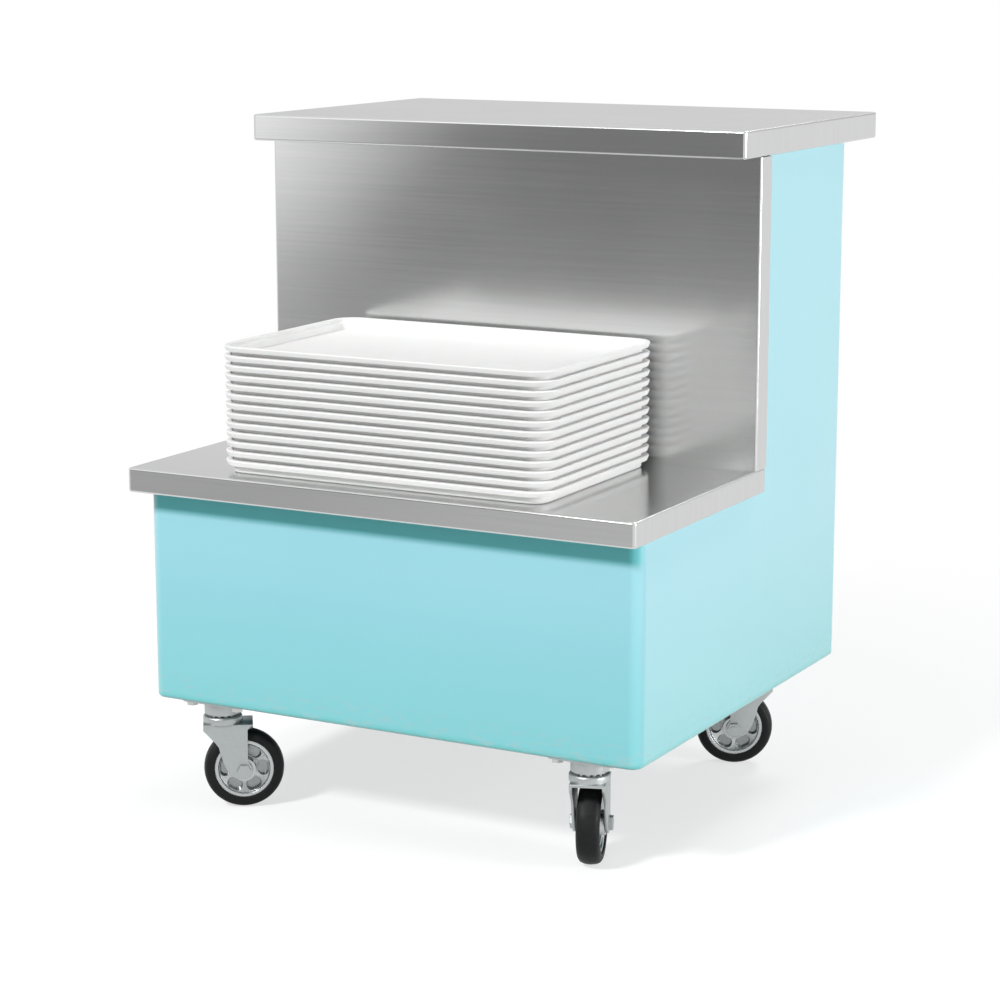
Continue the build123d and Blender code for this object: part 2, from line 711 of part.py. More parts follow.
for caster_name, (swivel_x, swivel_y, heading) in casters.items():
    swivel_plane = Plane((swivel_x, swivel_y, 0)).rotated((0, 0, heading))
    side_plane = Plane(swivel_plane.origin, x_dir=swivel_plane.x_dir, z_dir=-swivel_plane.y_dir)
    wheel_centre = swivel_plane.from_local_coords((wheel_trail, 0, axle_height))
    wheel_section = Plane(wheel_centre, x_dir=swivel_plane.y_dir, z_dir=swivel_plane.x_dir)
    caster_plate(caster_name, swivel_x, swivel_y)
    caster_kingpin(caster_name, swivel_x, swivel_y)
    caster_balls(caster_name, swivel_plane)
    caster_fork(caster_name, swivel_plane, side_plane)
    caster_axle(caster_name, side_plane)
    caster_wheel(caster_name, wheel_section, side_plane)

# Tray: a flat floor, a wall with a shoulder that the next tray sits on, and a turned-down rim
tray_middle = splash_front - tray_back_gap - tray_depth / 2
tray_height = tray_pitch + tray_rim_rise
shoulder_top = tray_pitch - tray_nest_gap
upper_outer = tray_rim
upper_inner = upper_outer + tray_wall
lower_outer = upper_inner + tray_nest_side_gap
lower_inner = lower_outer + tray_wall


def tray_outline(inset, mode=Mode.ADD):
    """The tray's rounded outline, drawn in by an equal distance all round."""
    RectangleRounded(tray_width - 2 * inset, tray_depth - 2 * inset, tray_corner - inset, mode=mode)


tray_base = Plane((tray_shift, tray_middle, deck_top + tray_nest_gap))
with BuildPart() as tray:
    with BuildSketch(tray_base):
        tray_outline(lower_outer)
    extrude(amount=shoulder_top)
    fillet(tray.edges().group_by(Axis.Z)[0], tray_floor_radius)
    with BuildSketch(tray_base.offset(shoulder_top - tray_wall)):
        tray_outline(upper_outer)
    extrude(amount=tray_height - shoulder_top + tray_wall)
    with BuildSketch(tray_base.offset(tray_height - tray_lip)):
        tray_outline(0)
        tray_outline(tray_wall, Mode.SUBTRACT)
    extrude(amount=tray_lip)
    with BuildSketch(tray_base.offset(tray_height - tray_wall)):
        tray_outline(0)
    extrude(amount=tray_wall)
    fillet(tray.edges().group_by(Axis.Z)[-1], tray_rim_radius)
    with BuildSketch(tray_base.offset(tray_wall)):
        tray_outline(lower_inner)
    extrude(amount=tray_height, mode=Mode.SUBTRACT)
    with BuildSketch(tray_base.offset(shoulder_top)):
        tray_outline(upper_inner)
    extrude(amount=tray_height, mode=Mode.SUBTRACT)

with BuildPart() as tray_stack:
    with Locations(*[(0, 0, level * tray_pitch) for level in range(tray_count - 1)]):
        add(tray.part)
save(tray_stack, "tray_stack")

with BuildPart() as top_tray:
    with Locations((0, 0, (tray_count - 1) * tray_pitch)):
        add(tray.part)
save(top_tray, "top_tray")
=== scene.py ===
import json
from math import atan2, cos, pi, radians, sin, sqrt, tau

import bmesh
import bpy
from mathutils import Matrix, Vector


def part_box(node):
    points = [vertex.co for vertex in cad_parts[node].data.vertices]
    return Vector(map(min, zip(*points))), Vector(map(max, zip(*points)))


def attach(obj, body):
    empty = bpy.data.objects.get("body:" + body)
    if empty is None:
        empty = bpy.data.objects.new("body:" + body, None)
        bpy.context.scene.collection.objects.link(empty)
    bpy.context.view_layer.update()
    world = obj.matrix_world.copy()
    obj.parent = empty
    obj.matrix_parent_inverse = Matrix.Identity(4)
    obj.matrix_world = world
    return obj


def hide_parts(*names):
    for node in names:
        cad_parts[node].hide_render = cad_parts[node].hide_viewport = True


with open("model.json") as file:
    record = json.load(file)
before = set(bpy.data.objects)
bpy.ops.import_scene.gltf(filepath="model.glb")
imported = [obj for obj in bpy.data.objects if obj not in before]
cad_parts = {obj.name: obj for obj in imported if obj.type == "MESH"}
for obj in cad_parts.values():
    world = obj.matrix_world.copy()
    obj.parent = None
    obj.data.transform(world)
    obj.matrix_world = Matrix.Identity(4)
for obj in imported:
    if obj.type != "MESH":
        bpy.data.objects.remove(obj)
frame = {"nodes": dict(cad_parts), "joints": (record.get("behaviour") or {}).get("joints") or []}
nodes = frame["nodes"]
joints = {joint["name"]: joint for joint in frame["joints"]}
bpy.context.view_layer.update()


# Body shell: the aqua housing, low at the front under the deck and high at the back under the shelf.
# It is laid up in a mould with a glossy gel coat outside, so its wide faces wander a little.
# The colour is deeper low down and the foot is scuffed; a deeper teal band close under the deck is painted
# shadow of the deck, and a darker line along the bottom edge is painted shade.
aqua = (0.330, 0.725, 0.820)
aqua_cloud = (0.312, 0.705, 0.800)
aqua_low = (0.205, 0.660, 0.700)
# Painted shadow: the deeper teal of the band where the deck's shadow falls on the body's front.
aqua_painted_deck_shadow = (0.090, 0.710, 0.740)
# Painted shade: the darker teal of the line along the bottom edge, where the edge turns under.
aqua_painted_edge_shade = (0.090, 0.560, 0.540)
aqua_scuffed = (0.40, 0.60, 0.63)
low_fade = 0.20
edge_shade_height = 0.010
shaded_height = 0.030
shaded_blend = 0.008
shaded_reach = 0.012
cloud_grain = 3.0
soft_detail = 2.0
fine_detail = 4.0
noise_low = 0.3
noise_high = 0.7
wave_grain = 7.0
wave_detail = 1.0
wave_depth = 0.0012
peel_grain = 240.0
peel_depth = 0.00006
scuff_height = 0.045
scuff_grain = (55.0, 55.0, 190.0)
scuff_starts = 0.52
scuff_ends = 0.66
scuff_most = 0.6
gel_glossy = 0.30
gel_dull = 0.38
gel_coat_weight = 0.8
gel_coat_roughness = 0.15
gel_sheen = 0.5
gel_sheen_roughness = 0.5
body_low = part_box("body_shell")[0].z
body_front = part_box("body_shell")[0].y
deck_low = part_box("deck")[0].z


def new_finish(name, metallic=0.0):
    """A node material with a bare Principled shader: the material, its node tree and the shader."""
    material = bpy.data.materials.new(name)
    material.use_nodes = True
    shader = material.node_tree.nodes["Principled BSDF"]
    shader.inputs["Metallic"].default_value = metallic
    return material, material.node_tree, shader


def object_place(tree, scale):
    """Object coordinates, with each axis scaled."""
    place = tree.nodes.new("ShaderNodeTexCoord")
    mapping = tree.nodes.new("ShaderNodeMapping")
    mapping.inputs["Scale"].default_value = scale
    tree.links.new(place.outputs["Object"], mapping.inputs["Vector"])
    return mapping.outputs["Vector"]


def grain(tree, scale, detail=soft_detail):
    """Soft noise with that many blotches to the metre along each axis."""
    noise = tree.nodes.new("ShaderNodeTexNoise")
    noise.inputs["Scale"].default_value = 1.0
    noise.inputs["Detail"].default_value = detail
    tree.links.new(object_place(tree, scale), noise.inputs["Vector"])
    return noise.outputs["Fac"]


def even_grain(tree, count, detail=soft_detail):
    """The same number of blotches to the metre in all directions."""
    return grain(tree, (count, count, count), detail)


def spread(tree, value, low, high, start=noise_low, end=noise_high):
    """A value that runs from start to end, as soft noise does by default, spread over low to high."""
    spreader = tree.nodes.new("ShaderNodeMapRange")
    spreader.inputs["From Min"].default_value = start
    spreader.inputs["From Max"].default_value = end
    spreader.inputs["To Min"].default_value = low
    spreader.inputs["To Max"].default_value = high
    tree.links.new(value, spreader.inputs["Value"])
    return spreader.outputs["Result"]


def arithmetic(tree, operation, first, second):
    """One Math node: the first value is a node's output, the second an output or a plain number."""
    maths = tree.nodes.new("ShaderNodeMath")
    maths.operation = operation
    tree.links.new(first, maths.inputs[0])
    if isinstance(second, float):
        maths.inputs[1].default_value = second
    else:
        tree.links.new(second, maths.inputs[1])
    return maths.outputs["Value"]


def tinted(tree, factor, first, second):
    """A colour between two colours, each a node's output or plain RGB."""
    mix = tree.nodes.new("ShaderNodeMix")
    mix.data_type = "RGBA"
    factor_in, first_in, second_in = [socket for socket in mix.inputs if socket.enabled]
    tree.links.new(factor, factor_in)
    for socket, colour in ((first_in, first), (second_in, second)):
        if isinstance(colour, tuple):
            socket.default_value = (*colour, 1.0)
        else:
            tree.links.new(colour, socket)
    return [socket for socket in mix.outputs if socket.enabled][0]


def bumps(tree, height, depth, below=None):
    """The shading normal of bumps of that depth in metres, laid over other bumps."""
    bump = tree.nodes.new("ShaderNodeBump")
    bump.inputs["Distance"].default_value = depth
    tree.links.new(height, bump.inputs["Height"])
    if below:
        tree.links.new(below, bump.inputs["Normal"])
    return bump.outputs["Normal"]


def axis_value(tree, output, axis):
    """One axis of the Texture Coordinate node's Object place or Normal."""
    place = tree.nodes.new("ShaderNodeTexCoord")
    split = tree.nodes.new("ShaderNodeSeparateXYZ")
    tree.links.new(place.outputs[output], split.inputs["Vector"])
    return split.outputs[axis]


def dress(piece, material):
    """Puts the material in every slot of a piece."""
    for slot in piece.material_slots:
        slot.material = material


def gel_coat():
    material, tree, shader = new_finish("gel_coat")
    height = axis_value(tree, "Object", "Z")
    clouds = tinted(tree, even_grain(tree, cloud_grain), aqua_cloud, aqua)
    sunk = spread(tree, height, 1.0, 0.0, body_low, body_low + low_fade)
    # Painted shadow: a band just under the deck on the front face takes the deeper teal that stands in for
    # the deck's shadow.
    shade_low = deck_low - shaded_height
    under_deck = spread(tree, height, 0.0, 1.0, shade_low, shade_low + shaded_blend)
    depth = axis_value(tree, "Object", "Y")
    in_front = spread(tree, depth, 1.0, 0.0, body_front, body_front + shaded_reach)
    shaded = arithmetic(tree, "MULTIPLY", under_deck, in_front)
    # Painted shade: the bottom edge darkens over its last few millimetres, standing in for the shade where it
    # turns under.
    edge = spread(tree, height, 1.0, 0.0, body_low, body_low + edge_shade_height)
    tone = tinted(tree, shaded, tinted(tree, sunk, clouds, aqua_low), aqua_painted_deck_shadow)
    tone = tinted(tree, edge, tone, aqua_painted_edge_shade)
    low = spread(tree, height, 1.0, 0.0, body_low, body_low + scuff_height)
    blots = grain(tree, scuff_grain, fine_detail)
    marks = spread(tree, blots, 0.0, scuff_most, scuff_starts, scuff_ends)
    scuffs = arithmetic(tree, "MULTIPLY", low, marks)
    tree.links.new(tinted(tree, scuffs, tone, aqua_scuffed), shader.inputs["Base Color"])
    shine = spread(tree, even_grain(tree, wave_grain), gel_glossy, gel_dull)
    tree.links.new(arithmetic(tree, "ADD", shine, scuffs), shader.inputs["Roughness"])
    waves = bumps(tree, even_grain(tree, wave_grain, wave_detail), wave_depth)
    peel = bumps(tree, even_grain(tree, peel_grain), peel_depth, waves)
    tree.links.new(peel, shader.inputs["Normal"])
    shader.inputs["Coat Weight"].default_value = gel_coat_weight
    shader.inputs["Coat Roughness"].default_value = gel_coat_roughness
    shader.inputs["Sheen Weight"].default_value = gel_sheen
    shader.inputs["Sheen Roughness"].default_value = gel_sheen_roughness
    return material


body_finish = gel_coat()
dress(nodes["body_shell"], body_finish)


# Back panel: the flat cover over the open back of the body, moulded and coated as the body is.
# Eight pan-head screws of zinc-plated steel hold it by its rim, one at each corner and mid-side.
dress(nodes["back_panel"], body_finish)
screw_low, screw_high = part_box("back_panel_screws")
panel_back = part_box("back_panel")[1].y
head_radius = 0.00475
head_sides = 40
head_dome = 0.0017
dome_steps = 5
head_smooth_angle = 40
recess_reach = 0.0026
recess_width = 0.0011
recess_depth = 0.0013
zinc_light = (0.66, 0.67, 0.66)
zinc_dull = (0.50, 0.51, 0.50)
zinc_grain = 260.0
zinc_roughness = 0.28
zinc_dulling = 0.14
smooth_angle = 35


def start_piece(name):
    """Names the primitive that was just added, applies its place and opens it for editing."""
    piece = bpy.context.object
    piece.name = name
    piece.data.name = name
    bpy.ops.object.transform_apply()
    bpy.ops.object.mode_set(mode="EDIT")
    return piece


def pick(kind, rule):
    """Selects the vertices, edges or faces that the rule is true for, and no others."""
    bpy.ops.mesh.select_mode(type=kind)
    bpy.ops.mesh.select_all(action="DESELECT")
    mesh = bpy.context.edit_object.data
    shape = bmesh.from_edit_mesh(mesh)
    shape.normal_update()
    for element in {"VERT": shape.verts, "EDGE": shape.edges, "FACE": shape.faces}[kind]:
        if rule(element):
            element.select_set(True)
    bmesh.update_edit_mesh(mesh)


def apply_modifier(piece, kind, **settings):
    """Adds a modifier with those settings to the active piece and applies it."""
    modifier = piece.modifiers.new(kind.lower(), kind)
    for setting, value in settings.items():
        setattr(modifier, setting, value)
    bpy.ops.object.modifier_apply(modifier=modifier.name)


def close_piece(material, angle=smooth_angle):
    """Leaves edit mode, shades the piece smooth up to that angle and gives it its material."""
    bpy.ops.object.mode_set(mode="OBJECT")
    bpy.ops.object.shade_smooth_by_angle(angle=radians(angle))
    piece = bpy.context.object
    piece.data.materials.clear()
    piece.data.materials.append(material)
    return piece


def join_pieces(pieces, name):
    """Joins several meshes into the first of them."""
    bpy.ops.object.select_all(action="DESELECT")
    for piece in pieces:
        piece.select_set(True)
    bpy.context.view_layer.objects.active = pieces[0]
    bpy.ops.object.join()
    pieces[0].name = name
    pieces[0].data.name = name
    return pieces[0]


def placed_copy(pattern, name, place):
    """A copy of a pattern piece with its own mesh, set in its place."""
    piece = pattern.copy()
    piece.data = pattern.data.copy()
    piece.name = name
    piece.data.name = name
    piece.data.transform(place)
    bpy.context.scene.collection.objects.link(piece)
    return piece


def zinc_plate(name, light, dull, roughness):
    """Zinc plating: pale grey, a little cloudy, satin."""
    material, tree, shader = new_finish(name, metallic=1.0)
    tree.links.new(tinted(tree, even_grain(tree, zinc_grain), dull, light), shader.inputs["Base Color"])
    dulled = roughness + zinc_dulling
    shine = spread(tree, even_grain(tree, zinc_grain, fine_detail), roughness, dulled)
    tree.links.new(shine, shader.inputs["Roughness"])
    return material


fastener_finish = zinc_plate("fastener_zinc", zinc_light, zinc_dull, zinc_roughness)
head_height = screw_high.y - panel_back
head_top = head_height / 2

bpy.ops.object.select_all(action="DESELECT")
bpy.ops.mesh.primitive_cylinder_add(
    vertices=head_sides, radius=head_radius, depth=head_height, rotation=(-pi / 2, 0, 0))
screw = start_piece("screw_pattern")
pick("EDGE", lambda edge: all(vert.co.y > head_top / 2 for vert in edge.verts))
bpy.ops.mesh.bevel(offset=head_dome, segments=dome_steps, profile=0.5)
bpy.ops.object.mode_set(mode="OBJECT")
cutters = []
for across, along in ((recess_reach, recess_width), (recess_width, recess_reach)):
    bpy.ops.mesh.primitive_cube_add(size=1, location=(0, head_top, 0))
    cutter = start_piece("recess_cutter")
    bpy.ops.transform.resize(
        value=(2 * across, 2 * recess_depth, 2 * along), center_override=(0, head_top, 0))
    bpy.ops.object.mode_set(mode="OBJECT")
    cutters.append(cutter)
bpy.ops.object.select_all(action="DESELECT")
bpy.context.view_layer.objects.active = screw
screw.select_set(True)
for cutter in cutters:
    apply_modifier(screw, "BOOLEAN", object=cutter, operation="DIFFERENCE", solver="EXACT")
    bpy.data.objects.remove(cutter)
close_piece(fastener_finish, head_smooth_angle)

columns = (screw_low.x + head_radius, 0, screw_high.x - head_radius)
rows = (screw_low.z + head_radius, (screw_low.z + screw_high.z) / 2, screw_high.z - head_radius)
panel_screws = []
for column in columns:
    for row in rows:
        if column or row != rows[1]:
            seat = Matrix.Translation((column, panel_back + head_top, row))
            panel_screws.append(placed_copy(screw, "panel_screw", seat))
bpy.data.objects.remove(screw)
panel_screws = join_pieces(panel_screws, "panel_screws")
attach(panel_screws, "stand")
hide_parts("back_panel_screws")


# Base channels and hat stiffeners: folded galvanised sheet inside the body.
# The channels carry the casters, and the hats stop the deck and the shelf from drumming.
spangle_light = (0.60, 0.62, 0.63)
spangle_dark = (0.42, 0.44, 0.46)
spangle_count = 90.0
spangle_glossy = 0.34
spangle_dull = 0.5


def red_share(tree, colour):
    """The red share of a colour, as a value."""
    split = tree.nodes.new("ShaderNodeSeparateColor")
    tree.links.new(colour, split.inputs["Color"])
    return split.outputs["Red"]


def galvanised_sheet():
    material, tree, shader = new_finish("galvanised_sheet", metallic=1.0)
    spangle = tree.nodes.new("ShaderNodeTexVoronoi")
    spangle.inputs["Scale"].default_value = 1.0
    place = object_place(tree, (spangle_count, spangle_count, spangle_count))
    tree.links.new(place, spangle.inputs["Vector"])
    crystal = red_share(tree, spangle.outputs["Color"])
    tree.links.new(tinted(tree, crystal, spangle_dark, spangle_light), shader.inputs["Base Color"])
    shine = spread(tree, crystal, spangle_glossy, spangle_dull, 0.0, 1.0)
    tree.links.new(shine, shader.inputs["Roughness"])
    return material


sheet_finish = galvanised_sheet()
for name in ("front_channel", "rear_channel", "deck_stiffeners", "shelf_stiffeners"):
    dress(nodes[name], sheet_finish)


# Deck, splash and top shelf: folded stainless sheet, brushed along its length.
# On the side flanges and the splash returns the brush lines run upright.
# Studs welded underneath draw them down on the body, so no fastener shows on top.
stainless_light = (0.624, 0.629, 0.624)
stainless_dark = (0.596, 0.601, 0.601)
along_brush = 4.0
fine_strokes = 1100.0
wide_strokes = 260.0
brush_depth = 0.000002
brush_glossy = 0.16
brush_dull = 0.21
side_starts = 0.6
side_ends = 0.8
hand_grain = 5.0
hand_wear = 0.02


def brush_lines(tree, count):
    """That many brush lines to the metre, along the sheet or, on faces that look sideways, upright."""
    lengthwise = grain(tree, (along_brush, count, count), fine_detail)
    upright = grain(tree, (count, count, along_brush), fine_detail)
    side = arithmetic(tree, "ABSOLUTE", axis_value(tree, "Normal", "X"), 0.0)
    lines = tree.nodes.new("ShaderNodeMix")
    tree.links.new(spread(tree, side, 0.0, 1.0, side_starts, side_ends), lines.inputs["Factor"])
    tree.links.new(lengthwise, lines.inputs["A"])
    tree.links.new(upright, lines.inputs["B"])
    return lines.outputs["Result"]


def brushed_stainless():
    material, tree, shader = new_finish("brushed_stainless", metallic=1.0)
    streaks = spread(tree, brush_lines(tree, wide_strokes), 0.0, 1.0)
    tree.links.new(tinted(tree, streaks, stainless_dark, stainless_light), shader.inputs["Base Color"])
    strokes = brush_lines(tree, fine_strokes)
    worn = spread(tree, even_grain(tree, hand_grain), -hand_wear, hand_wear)
    shine = arithmetic(tree, "ADD", spread(tree, strokes, brush_glossy, brush_dull), worn)
    tree.links.new(shine, shader.inputs["Roughness"])
    tree.links.new(bumps(tree, strokes, brush_depth), shader.inputs["Normal"])
    return material


stainless_finish = brushed_stainless()
for name in ("deck", "splash", "top_shelf"):
    dress(nodes[name], stainless_finish)


# Stud nuts and caster bolts, washers and nuts: zinc-plated steel, all inside or under the body.
# The stud nuts draw the sheet work down, and the bolts hold the caster plates up against the channels.
for name in ("deck_nuts", "shelf_nuts", "splash_nuts", "caster_bolts", "caster_washers", "caster_nuts"):
    dress(nodes[name], fastener_finish)


# Casters: each hangs from a pressed top plate, bolted up under the body, with a round neck for the swivel.
# The plate is zinc-plated steel, stamped with rounded corners.
caster_names = ("front_left", "front_right", "rear_left", "rear_right")
plate_corner = 0.008
corner_steps = 7
plate_thickness = 0.003
plate_edge = 0.0004
plate_edge_angle = radians(40)
neck_radius = 0.023
neck_foot = 0.1235
neck_round = 0.0012
turned_sides = 72
round_steps = 4
plating_light = (0.475, 0.50, 0.50)
plating_dull = (0.39, 0.41, 0.41)
plating_roughness = 0.34
plating_finish = zinc_plate("caster_plating", plating_light, plating_dull, plating_roughness)


def turned_disc(name, radius, foot, top, round_over, material):
    """An upright round piece on the caster's own axis, its two rims rounded over."""
    bpy.ops.object.select_all(action="DESELECT")
    bpy.ops.mesh.primitive_cylinder_add(
        vertices=turned_sides, radius=radius, depth=top - foot, location=(0, 0, (foot + top) / 2))
    start_piece(name)
    pick("EDGE", lambda edge: edge.verts[0].co.z == edge.verts[1].co.z)
    bpy.ops.mesh.bevel(offset=round_over, segments=round_steps, profile=0.5)
    return close_piece(material)


def caster_frame(name):
    """The caster's own frame: its swivel axis upright through the origin, its wheel trailing along +X."""
    swivel = Vector(joints[name + "_swivel"]["pos_m"])
    trail = Vector(joints[name + "_wheel_spin"]["pos_m"]) - swivel
    heading = Matrix.Rotation(atan2(trail.y, trail.x), 4, "Z")
    return Matrix.Translation((swivel.x, swivel.y, 0)) @ heading


for name in caster_names:
    plate_low, plate_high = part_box(name + "_plate")
    swivel = Vector(joints[name + "_swivel"]["pos_m"])
    middle = Vector((swivel.x, swivel.y, plate_high.z - plate_thickness / 2))
    bpy.ops.object.select_all(action="DESELECT")
    bpy.ops.mesh.primitive_cube_add(size=1, location=middle)
    plate = start_piece(name + "_plate_skin")
    bpy.ops.transform.resize(
        value=(plate_high.x - plate_low.x, plate_high.y - plate_low.y, plate_thickness),
        center_override=middle)
    pick("EDGE", lambda edge: abs(edge.verts[0].co.z - edge.verts[1].co.z) > plate_thickness / 2)
    bpy.ops.mesh.bevel(offset=plate_corner, segments=corner_steps, profile=0.5)
    bpy.ops.object.mode_set(mode="OBJECT")
    apply_modifier(plate, "BEVEL", width=plate_edge, segments=2, angle_limit=plate_edge_angle)
    close_piece(plating_finish)
    neck = turned_disc(
        "neck", neck_radius, neck_foot, plate_high.z - plate_thickness, neck_round, plating_finish)
    neck.data.transform(Matrix.Translation((swivel.x, swivel.y, 0)))
    plate = join_pieces([plate, neck], name + "_plate_skin")
    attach(plate, "stand")
    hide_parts(name + "_plate")


# Forks: one strip of steel bent down on both sides of the wheel, plated like the plates.
# Each leg leans back from the crown to a round end at the axle, and the lower race is pressed on top.
fork_gap = 0.036
fork_sheet = 0.0035
crown_top = 0.112
crown_front = -0.025
crown_rear = 0.038
crown_bend = 0.0055
bend_steps = 6
bend_drop = 1.3 * crown_bend
axle_height = joints["front_left_wheel_spin"]["pos_m"][2]
axle_offset = Vector(joints["front_left_wheel_spin"]["pos_m"]) - Vector(joints["front_left_swivel"]["pos_m"])
wheel_trail = Vector((axle_offset.x, axle_offset.y)).length
leg_end = 0.011
leg_back = 0.005
shoulder = (-0.006, 0.084)
leg_lean = 0.30
leg_steps = 18
fork_edge = 0.0008
fork_edge_steps = 3
fork_edge_angle = radians(50)
race_radius = 0.025
race_top = 0.1215
race_round = 0.003
half_fork = fork_gap / 2 + fork_sheet
leg_top = crown_top - bend_drop
leg_foot = axle_height - leg_end


def leg_front(height):
    """Where the leg's leading edge lies at that height."""
    if height > shoulder[1]:
        rise = (height - shoulder[1]) / (leg_top - shoulder[1])
        return shoulder[0] + rise * (crown_front - shoulder[0])
    rise = (height - leg_foot) / (shoulder[1] - leg_foot)
    return shoulder[0] + (wheel_trail - shoulder[0]) * (1 - rise ** leg_lean)


def leg_rear(height):
    """Where the leg's trailing edge lies: straight down behind the axle, then round the leg's end."""
    above = height - axle_height
    round_end = sqrt(max(0.0, leg_end ** 2 - above ** 2))
    return wheel_trail + max(leg_back if above > 0 else 0.0, round_end)


bpy.ops.object.select_all(action="DESELECT")
crown_middle = ((crown_front + crown_rear) / 2, 0, crown_top)
bpy.ops.mesh.primitive_plane_add(size=1, location=crown_middle)
fork = start_piece("fork_pattern")
bpy.ops.transform.resize(value=(crown_rear - crown_front, 2 * half_fork, 1), center_override=crown_middle)
pick("EDGE", lambda edge: edge.verts[0].co.y * edge.verts[1].co.y > 0)
width, height, middle = crown_rear - crown_front, crown_top, crown_middle[0]
# The rows of each leg lie closer together towards its round end, and the last stops just short of the tip.
for step in range(leg_steps):
    drop = sin(pi / 2 * step / (leg_steps - 0.5))
    next_height = leg_top + drop * (leg_foot - leg_top)
    front, rear = leg_front(next_height), leg_rear(next_height)
    next_middle = (front + rear) / 2
    bpy.ops.mesh.extrude_edges_move(
        TRANSFORM_OT_translate={"value": (next_middle - middle, 0, next_height - height)})
    bpy.ops.transform.resize(
        value=((rear - front) / width, 1, 1), center_override=(next_middle, 0, next_height))
    width, height, middle = rear - front, next_height, next_middle
pick("EDGE", lambda edge: all(vert.co.z == crown_top for vert in edge.verts)
     and edge.verts[0].co.y * edge.verts[1].co.y > 0)
bpy.ops.mesh.bevel(offset=crown_bend, segments=bend_steps, profile=0.5)
bpy.ops.object.mode_set(mode="OBJECT")
apply_modifier(fork, "SOLIDIFY", thickness=fork_sheet, offset=-1, use_even_offset=True)
apply_modifier(fork, "BEVEL", width=fork_edge, segments=fork_edge_steps, angle_limit=fork_edge_angle)
close_piece(plating_finish)
race = turned_disc("race", race_radius, crown_top - fork_sheet / 2, race_top, race_round, plating_finish)
fork = join_pieces([fork, race], "fork_pattern")
for name in caster_names:
    piece = placed_copy(fork, name + "_fork_skin", caster_frame(name))
    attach(piece, name + "_caster")
    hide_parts(name + "_fork")
bpy.data.objects.remove(fork)


# Swivel and axle pieces: a kingpin, an axle sleeve, a hex bolt and a lock nut of plated steel in each caster.
# A ring of hard bright balls runs between the plate and the fork's race.
ball_tone = (0.62, 0.62, 0.63)
ball_shade = (0.50, 0.50, 0.52)
ball_roughness = 0.08
ball_finish = zinc_plate("ball_steel", ball_tone, ball_shade, ball_roughness)
for name in caster_names:
    for piece in ("kingpin", "axle_sleeve", "axle_bolt", "axle_nut"):
        dress(nodes[name + "_" + piece], plating_finish)
    dress(nodes[name + "_race_balls"], ball_finish)


# Wheel cores: cast alloy centres with a raised rim, a dished web and a hub for the axle sleeve.
# Six shallow slots on each side lighten the web, their walls drafted so that the casting leaves its mould.
rim_radius = 0.038
rim_width = 0.024
rim_wall = 0.006
rim_draft = 0.0012
web_width = 0.008
web_dish = 0.005
hub_radius = 0.015
hub_width = 0.034
hub_draft = 0.001
bore_radius = 0.0073
pocket_count = 6
pocket_margin = 0.0025
pocket_turn = radians(12)
pocket_depth = 0.002
pocket_draft = 0.0005
pocket_mouth = 0.006
pocket_end_share = 0.48
pocket_end_steps = 8
facing = 0.9
cast_edge = 0.0006
cast_edge_angle = radians(35)
cast_light = (0.56, 0.575, 0.575)
cast_dark = (0.43, 0.445, 0.445)
# Painted shade: the darker grey of the pocket floors.
cast_pocket_shade = (0.29, 0.305, 0.305)
cast_grain = 420.0
cast_detail = 3.0
cast_depth = 0.00012
cast_glossy = 0.24
cast_dull = 0.36
core_sides = 96
axle_middle = Vector((wheel_trail, 0, axle_height))
web_reach = rim_radius - rim_wall - hub_radius
pocket_ring = hub_radius + web_reach / 2
pocket_width = web_reach - 2 * pocket_margin
pocket_length = 2 * pocket_ring * sin(pocket_turn / 2) + pocket_width
pocket_height = pocket_depth + pocket_mouth


def cast_alloy():
    material, tree, shader = new_finish("cast_alloy", metallic=1.0)
    skin = even_grain(tree, cast_grain, cast_detail)
    sunk = tree.nodes.new("ShaderNodeAttribute")
    sunk.attribute_name = "sunk"
    bright = tinted(tree, skin, cast_dark, cast_light)
    # Painted shade: the pocket floors take the darker grey.
    tree.links.new(tinted(tree, sunk.outputs["Fac"], bright, cast_pocket_shade), shader.inputs["Base Color"])
    tree.links.new(spread(tree, skin, cast_glossy, cast_dull), shader.inputs["Roughness"])
    tree.links.new(bumps(tree, skin, cast_depth), shader.inputs["Normal"])
    return material


def mark_painted_pocket_shade(piece):
    """Marks the floors of the pockets, which are painted darker as shade in the recesses."""
    marks = piece.data.attributes.new("sunk", "FLOAT", "FACE")
    for face in piece.data.polygons:
        reach = (face.center - axle_middle) * Vector((1, 0, 1))
        in_web = hub_radius < reach.length < rim_radius - rim_wall
        marks.data[face.index].value = in_web and abs(face.center.y) < web_width / 2 - pocket_depth / 2


def axle_cylinder(name, radius, width):
    """A cylinder round the axle of the caster at the origin, open for editing."""
    bpy.ops.object.select_all(action="DESELECT")
    bpy.ops.mesh.primitive_cylinder_add(
        vertices=core_sides, radius=radius, depth=width, location=axle_middle, rotation=(pi / 2, 0, 0))
    return start_piece(name)


def faces_sideways(face):
    return abs(face.normal.y) > facing


def open_bore():
    """Deletes the two selected end faces and joins their rims by a bore."""
    bpy.ops.mesh.delete(type="FACE")
    bpy.ops.mesh.select_mode(type="EDGE")
    bpy.ops.mesh.select_non_manifold()
    bpy.ops.mesh.bridge_edge_loops()


